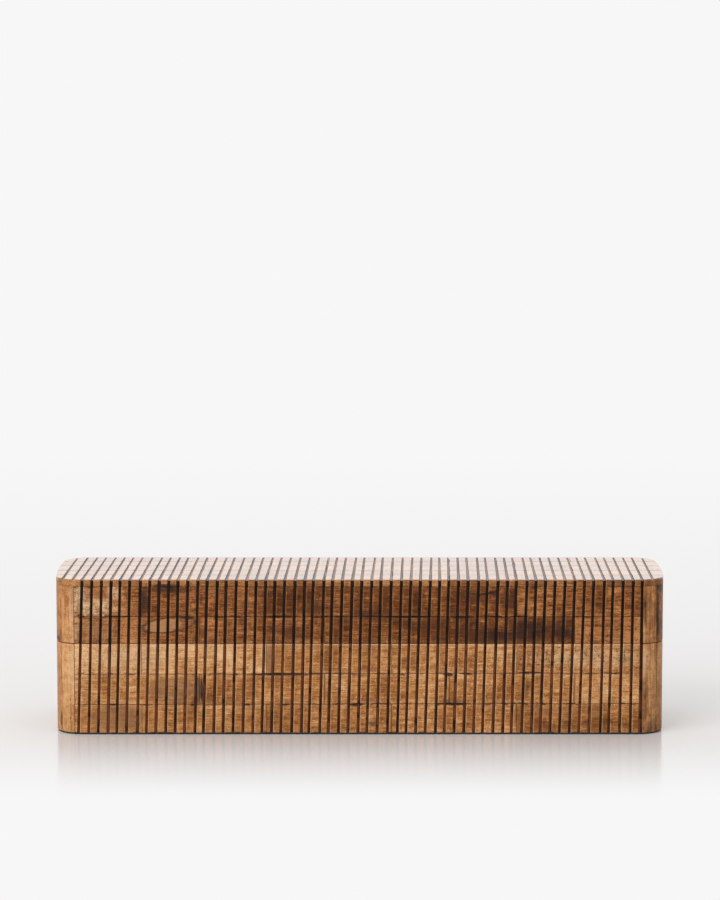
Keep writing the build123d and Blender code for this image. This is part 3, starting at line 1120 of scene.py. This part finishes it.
# Kinds of mark: shade, strength, how ragged its outline is, and where a ring's inside ends
spot_kinds = {
    "pale": (rgb(228, 186, 140), 0.75, 0.7, 0.0),
    "tan": (rgb(190, 136, 90), 0.75, 0.7, 0.0),
    "cream": (rgb(244, 204, 158), 0.95, 0.9, 0.0),
    "rust": (rgb(164, 96, 44), 0.85, 0.8, 0.0),
    "grey": (rgb(156, 114, 78), 0.7, 0.4, 0.0),
    "patch": (rgb(196, 142, 94), 0.85, 0.12, 0.0),
    "outline": (rgb(50, 31, 23), 0.78, 0.12, 0.9),
    "slate": (rgb(96, 80, 64), 0.85, 0.35, 0.0),
    "toasted": (rgb(78, 42, 22), 0.8, 0.85, 0.0),
    "burnt": (rgb(44, 25, 20), 0.96, 0.75, 0.0),
    "filler": (filler_shade, 0.97, 0.4, 0.0),
}

# Marks on the front in millimetres: middle, half width, half height, and tilt in degrees where it has one
lid_spots = {
    "pale": [(-187, 69, 4, 9)],
    "tan": [(-171, 69, 16, 9.5)],
    "cream": [(-184, 93, 7, 9), (-173, 85, 17, 8.5), (-161, 94, 6, 7), (-179.5, 85, 6, 7), (-187, 87, 4, 11)],
    "rust": [(-170, 93, 7, 4), (-160.5, 88, 4, 2.6), (-171.5, 82, 1.6, 1.6), (-176, 79, 3, 2)],
    "outline": [(-125, 73, 19.5, 5.3, 8)],
    "patch": [(-128.5, 72.6, 12.5, 4.4, 6)],
    "burnt": [
        (110, 69.5, 14, 8), (109, 69, 10, 6), (133, 68, 7, 4.5), (90, 66, 10, 4.5),
        (-141, 90, 3.6, 14), (-125, 97, 16, 5),
    ],
    "toasted": [
        (80, 66, 30, 8), (129, 68.5, 15, 7), (45, 72, 18, 7), (98, 88, 6, 7), (76, 92, 14, 6),
        (-45, 68, 16, 6), (-30, 84, 9, 6), (8, 80, 16, 5),
    ],
    "filler": [
        (-126, 98.8, 10, 1.4), (-113, 77.7, 6, 1.3), (84, 94, 9, 0.9, 14), (68, 78, 9, 1.0),
        (-52, 78.4, 12, 1.0), (30, 78.4, 20, 0.8),
    ],
}
band_spots = {"filler": [(-126, 99.2, 10.5, 1.1)]}
base_spots = {
    "pale": [(-150, 51, 34, 10), (150, 51, 45, 8)],
    "tan": [(128, 15.5, 18, 3.2), (155, 14.5, 8, 2.6)],
    "pored": [(145, 51, 48, 11)],
    "grey": [(-122, 30, 19, 9.5), (-159, 11, 20, 9.5), (-58, 50, 4.5, 10), (-106.5, 30, 2, 9.5)],
    "slate": [(-106.2, 30, 2, 10)],
    "toasted": [
        (119, 8, 5, 2), (137, 7.5, 5, 2), (149, 8, 5, 2.2), (162, 8.5, 5, 2.6), (175, 7, 4, 2),
        (-109, 22, 3, 5), (110, 32, 2.6, 8), (62, 22, 10, 2.6), (10, 8, 5, 4),
    ],
    "filler": [
        (-52, 40.2, 24, 1.1), (112, 41.3, 9.5, 0.9), (-103.8, 30.3, 0.9, 9.5), (62, 20.4, 12, 1.1),
        (-3, 20.0, 6, 1.2), (58, 40, 4, 1.3),
    ],
}
lid_corner_spots = {
    "pale": [(-189, 80, 2, 22)],
    "burnt": [
        (197, 97, 4, 5, 30), (196, 78, 1.6, 24), (195.6, 72, 0.9, 12), (187, 84, 2.0, 12),
        (-198.5, 62.5, 2, 2.4),
    ],
}
base_corner_spots = {
    "pale": [(-188.5, 45, 2.5, 20), (188, 50, 3, 9)],
    "toasted": [(187, 22, 3, 22), (190, 4, 9, 6)],
    "burnt": [(-196.5, 9, 1, 7)],
}

finishes = {
    "lid_front": slip_finish("burnt lid slips", lid_tones, along_x, lid_groove, spots=lid_spots),
    "lid_back": slip_finish("burnt lid slips behind", lid_tones, along_x, lid_groove),
    "lid_top": slip_finish("waxed top slips", top_tones, along_x, lid_groove, spots=band_spots, waxed=True),
    "base_front": slip_finish(
        "toasted base slips", base_tones, along_x, base_groove, foot_shade=0.25, spots=base_spots,
        worn_and_lit_top_from=59.4),
    "base_back": slip_finish("toasted base slips behind", base_tones, along_x, base_groove, foot_shade=0.18),
    "lid_corner": slip_finish(
        "lid corner slips", lid_corner_tones, along_z, lid_groove, spots=lid_corner_spots, pored=0.3),
    "base_corner": slip_finish(
        "base corner slips", base_corner_tones, along_z, base_groove, foot_shade=0.1, spots=base_corner_spots,
        pored=0.3),
    "lid_end": slip_finish("lid end slips", lid_tones, along_y, lid_groove),
    "base_end": slip_finish("base end slips", base_tones, along_y, base_groove, foot_shade=0.18),
    "board_x": board_finish("stained boards", board_along_x),
    "board_y": board_finish("stained end boards", board_along_y),
    "brass": brass_finish("dull brass", *hinge_brass),
    "screw_brass": brass_finish("screw brass", *screw_brass),
    "felt": felt_finish("black felt"),
}


# Rows of slips on the front, the top and the back

sides = (("left", -1), ("right", 1))
row_tree = grooved_row_tree()
rows = {}
for body, count in row_counts.items():
    boxes = [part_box(f"{body}_front_slips_row_{row + 1}") for row in range(count)]
    rows[body] = [(low.z, high.z) for low, high in boxes]

for body, spans in rows.items():
    for row, (low, high) in enumerate(spans):
        seed = row_seeds[body][row]
        mesh = upright_row(row_tree, body, row, low, high, finishes[f"{body}_front"], seed, -1)
        node = f"{body}_front_slips_row_{row + 1}"
        piece(f"{body}_front_row_{row + 1}", mesh, row_crease, body, node)

for row in range(top_rows):
    node = f"lid_top_slips_row_{row + 1}"
    low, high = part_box(node)
    mesh = flat_row(row_tree, row + 1, low.y, high.y, finishes["lid_top"], top_seed + row)
    piece(f"lid_top_row_{row + 1}", mesh, row_crease, "lid", node)

for body, spans in rows.items():
    meshes = []
    finish = f"{body}_back"
    for row, (low, high) in enumerate(spans):
        meshes.append(upright_row(row_tree, body, row, low, high, finishes[finish], back_seed + row, 1))
    back = linked("back", joined(meshes, finish))
    clearance = Vector((pocket_clearance, pocket_clearance, pocket_clearance))
    leaves = [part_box(f"{side}_hinge_{body}_leaf") for side, _ in sides]
    mesh = cut_away(back, *(cutter_box(low - clearance, high + clearance) for low, high in leaves))
    piece(f"{body}_back_slips", mesh, row_crease, body, f"{body}_back_cladding")


# Corner pieces and end slips in their places

for body, spans in rows.items():
    low = min(span[0] for span in spans) + row_gap / 2
    high = max(span[1] for span in spans) - row_gap / 2
    for face, along in (("front", -1), ("back", 1)):
        for side, across in sides:
            meshes = corner_meshes(across, along, low, high)
            for place, mesh in enumerate(meshes):
                # Each corner piece's tone, with painted shade on the right corners from the table above
                shade = corner_tones_with_painted_shade[body, across] - second_piece_shade * place
                mark_all(mesh, slip=shade, strip=even_strip)
                mark_notch(mesh)
            mesh = joined(meshes, f"{body}_corner")
            node = f"{body}_corner_{face}_{side}"
            piece(f"{node}_pieces", mesh, piece_crease, body, node)
    for side, across in sides:
        meshes = end_slip_meshes(across, spans)
        for place, mesh in enumerate(meshes):
            mark_all(mesh, slip=random.Random(f"{body}{side}end{place}").random(), strip=even_strip)
        mesh = joined(meshes, f"{body}_end")
        node = f"{body}_{side}_end_slips"
        piece(f"{body}_{side}_end_rows", mesh, piece_crease, body, node)


# Hinge screws in their places

screw_tree = screw_row_tree()
for body, up in (("base", 1), ("lid", -1)):
    low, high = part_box(f"{body}_hinge_screws")
    surface = high.z if up > 0 else low.z
    line = (low.y + high.y) / 2
    screw = slotted_screw(high.z - low.z, up)
    centres = []
    for side, _ in sides:
        leaf_low, leaf_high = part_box(f"{side}_hinge_{body}_leaf")
        middle = (leaf_low.x + leaf_high.x) / 2
        reach = high.x - screw_radius - abs(middle)
        centres += [(middle - reach, line, surface), (middle + reach, line, surface)]
    places = bpy.data.meshes.new("places")
    places.from_pydata(centres, [], [])
    values = {"Screw": screw, "Seed": screw_seed + up, "Finish": finishes["screw_brass"]}
    mesh = bake(screw_tree, values, places)
    bpy.data.objects.remove(screw)
    piece(f"{body}_slotted_screws", mesh, screw_crease, body, f"{body}_hinge_screws")


# CAD nodes that keep their shape

def dress(node, finish, width):
    """Gives a CAD node its finish, and wears its edges round."""
    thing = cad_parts[node]
    thing.data.materials.clear()
    thing.data.materials.append(finishes[finish])
    weld = thing.modifiers.new("weld", "WELD")
    weld.merge_threshold = board_weld
    wear_edges(thing, width)


board_sides = {"front": "board_x", "back": "board_x", "left": "board_y", "right": "board_y"}
for body in rows:
    for side, finish in board_sides.items():
        dress(f"{body}_{side}_board", finish, board_bevel)
dress("base_bottom_board", "board_x", board_bevel)
dress("lid_top_board", "board_x", board_bevel)
dress("base_felt", "felt", board_bevel)
for side, _ in sides:
    for part in ("base_leaf", "lid_leaf", "pin"):
        dress(f"{side}_hinge_{part}", "brass", brass_bevel)


# Camera, floor and light

def set_camera():
    camera = linked("camera", bpy.data.cameras.new("camera"))
    camera.data.lens = camera_lens
    camera.data.sensor_width = camera_sensor
    camera.location = camera_place
    camera.rotation_euler = (math.pi / 2 - camera_pitch, 0, 0)
    scene.camera = camera


def ray(tree, *kinds):
    """1 for rays of any of these kinds."""
    path = tree.nodes.new("ShaderNodeLightPath")
    found = Field(path.outputs[kinds[0]])
    for kind in kinds[1:]:
        found = found.most(Field(path.outputs[kind]))
    return found


def table_finish():
    """A pale, faintly glossy table that fades into the white backdrop in front and far behind."""
    material, shader, place = new_finish("pale table")
    tree = place.id_data
    y = parts_of(place)[1]
    colour = mixed(figure(place, "table") * table_grain, *table_shades)
    settle(shader, Base_Color=colour, Roughness=0.14, Specular_IOR_Level=0.07)
    ahead = y.span(fade_start, fade_ahead, smooth=True)
    behind = y.span(fade_start, fade_behind).math("POWER", fade_power)
    glow = add(tree, "ShaderNodeEmission", Color=(white, white, white, 1), Strength=1.0)
    blend = tree.nodes.new("ShaderNodeMixShader")
    faded = ahead.most(behind) * ray(tree, "Is Camera Ray", "Is Glossy Ray")
    for socket, value in enumerate((faded, shader.outputs[0], glow.outputs[0])):
        put(blend.inputs[socket], value)
    out = next(node for node in tree.nodes if node.type == "OUTPUT_MATERIAL")
    put(out.inputs["Surface"], blend.outputs[0])
    return material


def set_floor():
    mesh = bpy.data.meshes.new("floor")
    corners = [(x * table_reach, y * table_reach, 0) for x, y in ((-1, -1), (1, -1), (1, 1), (-1, 1))]
    mesh.from_pydata(corners, [], [range(len(corners))])
    mesh.materials.append(table_finish())
    floor = linked("floor", mesh)


def set_world():
    """A white backdrop for the eye, and a plain soft room for the light."""
    world = bpy.data.worlds.new("studio")
    scene.world = world
    world.use_nodes = True
    tree = world.node_tree
    way = tree.nodes.new("ShaderNodeTexCoord")
    toward = parts_of(way.outputs["Generated"])[1]
    mirrored = toward.span(*mirrored_room, smooth=True)
    strength = room_light + (mirrored - room_light) * ray(tree, "Is Glossy Ray", "Is Transmission Ray")
    strength = strength + (white - strength) * ray(tree, "Is Camera Ray")
    background = next(node for node in tree.nodes if node.type == "BACKGROUND")
    background.inputs["Color"].default_value = (1, 1, 1, 1)
    put(background.inputs["Strength"], strength)


def set_lamp(name, place, width, power):
    """A soft square lamp that looks at the box."""
    lamp = linked(name, bpy.data.lights.new(name, "AREA"))
    lamp.data.shape = "SQUARE"
    lamp.data.size = width
    lamp.data.energy = power
    lamp.location = place
    look = Vector((0, 0, top / 2)) - Vector(place)
    lamp.rotation_euler = look.to_track_quat("-Z", "Y").to_euler()


set_camera()
set_floor()
set_world()
for name, values in lamps.items():
    set_lamp(name, *values)
scene.view_settings.view_transform = "Standard"
